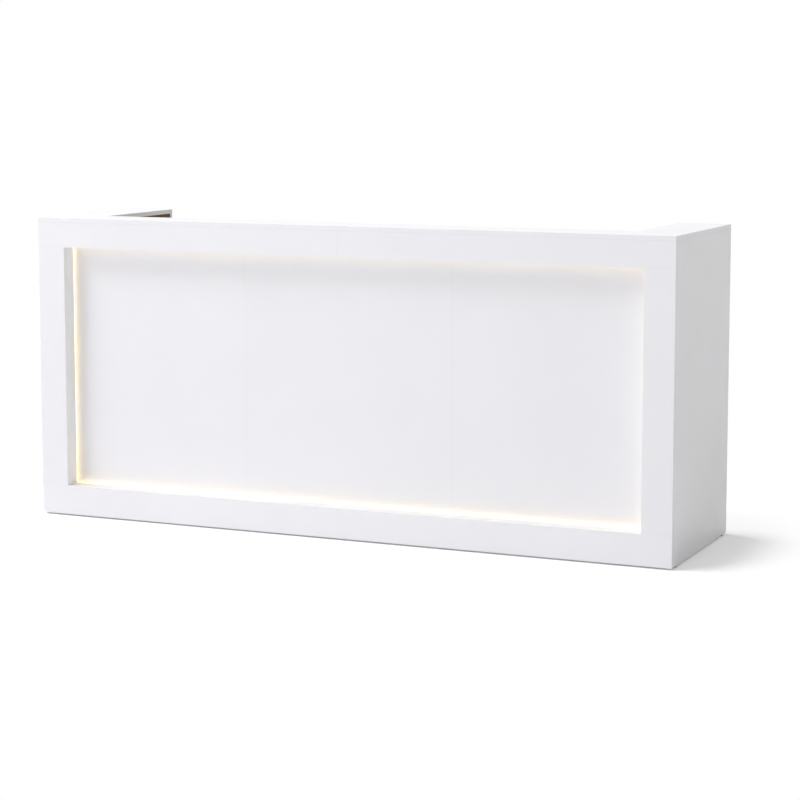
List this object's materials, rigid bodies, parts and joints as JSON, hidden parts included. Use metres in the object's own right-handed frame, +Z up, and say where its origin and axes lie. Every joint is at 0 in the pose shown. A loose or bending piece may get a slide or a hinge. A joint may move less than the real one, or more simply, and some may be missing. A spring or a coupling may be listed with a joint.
{
  "type": "reception desk",
  "caption": "White reception desk with a wide framed front, a recessed panel lit from behind the frame, a U-shaped counter, and a staff worktop with a hanging drawer pedestal.",
  "frame": {"origin": "on the floor, under the middle of the desk's box", "axes": "+X along the counter to the visitor's right, +Y from the visitor's side to the staff side, +Z up"},
  "size_m": [2.4, 0.652, 1.09],
  "materials": {
    "white_board": "satin white laminate on board",
    "wood_decor": "brown wood-decor laminate on board",
    "drawer_board": "pale grey laminate on board",
    "channel_metal": "satin anodised",
    "light_strip": "warm white light strip",
    "driver_case": "bead-blasted",
    "lead_sheath": "smooth sheath",
    "grey_plastic": "moulded, fine texture",
    "black_plastic": "moulded, satin",
    "brushed_metal": "brushed"
  },
  "bodies": {
    "desk": {"base_board": "white_board", "bottom_rail_left": "white_board", "bottom_rail_right": "white_board", "counter_top_left": "white_board", "counter_top_right": "white_board", "drawer_runner_lower_left": "grey_plastic", "drawer_runner_lower_right": "grey_plastic", "drawer_runner_upper_left": "grey_plastic", "drawer_runner_upper_right": "grey_plastic", "end_panel_left": "white_board", "end_panel_right": "white_board", "front_panel_centre": "white_board", "front_panel_left": "white_board", "front_panel_right": "white_board", "gable_centre": "white_board", "gable_left": "white_board", "gable_right": "white_board", "glide_back_centre": "grey_plastic", "glide_back_left": "grey_plastic", "glide_back_right": "grey_plastic", "glide_front_centre": "grey_plastic", "glide_front_left": "grey_plastic", "glide_front_right": "grey_plastic", "led_channel_bottom": "channel_metal", "led_channel_left": "channel_metal", "led_channel_right": "channel_metal", "led_channel_top": "channel_metal", "led_driver": "driver_case", "led_lead": "lead_sheath", "led_strip_bottom": "light_strip", "led_strip_left": "light_strip", "led_strip_right": "light_strip", "led_strip_top": "light_strip", "panel_batten_left": "white_board", "panel_batten_right": "white_board", "pedestal_bottom": "white_board", "pedestal_side": "white_board", "port_ring": "grey_plastic", "reveal_bottom": "white_board", "reveal_left": "white_board", "reveal_right": "white_board", "reveal_top": "white_board", "side_panel_left": "white_board", "side_panel_right": "white_board", "stile_left": "white_board", "stile_right": "white_board", "switch_frame": "black_plastic", "top_rail_left": "white_board", "top_rail_right": "white_board", "worktop_left": "wood_decor", "worktop_right": "wood_decor"},
    "upper_drawer": {"drawer_front_upper": "white_board", "drawer_box_upper": "drawer_board", "drawer_handle_upper": "brushed_metal"},
    "lower_drawer": {"drawer_front_lower": "white_board", "drawer_box_lower": "drawer_board", "drawer_handle_lower": "brushed_metal"},
    "lock_barrel": {"drawer_lock": "brushed_metal"},
    "rocker": {"switch_rocker": "black_plastic"},
    "cable_cap": {"port_cap": "grey_plastic"}
  },
  "joints": [
    {"name": "upper_drawer_slide", "type": "slide", "parent": "desk", "child": "upper_drawer", "axis": [0, 1, 0], "range_m": [0, 0.33]},
    {"name": "lower_drawer_slide", "type": "slide", "parent": "desk", "child": "lower_drawer", "axis": [0, 1, 0], "range_m": [0, 0.33]},
    {"name": "lock_turn", "type": "hinge", "parent": "upper_drawer", "child": "lock_barrel", "pos_m": [0.962, 0.284, 0.652], "axis": [0, 1, 0], "range_deg": [0, 90]},
    {"name": "switch_rock", "type": "hinge", "parent": "desk", "child": "rocker", "pos_m": [-1.019, 0.2, 0.635], "axis": [0, 1, 0], "range_deg": [0, 18]},
    {"name": "cable_cap_turn", "type": "hinge", "parent": "desk", "child": "cable_cap", "pos_m": [-0.78933, -0.153, 0.742], "axis": [0, 0, 1], "continuous": true}
  ]
}
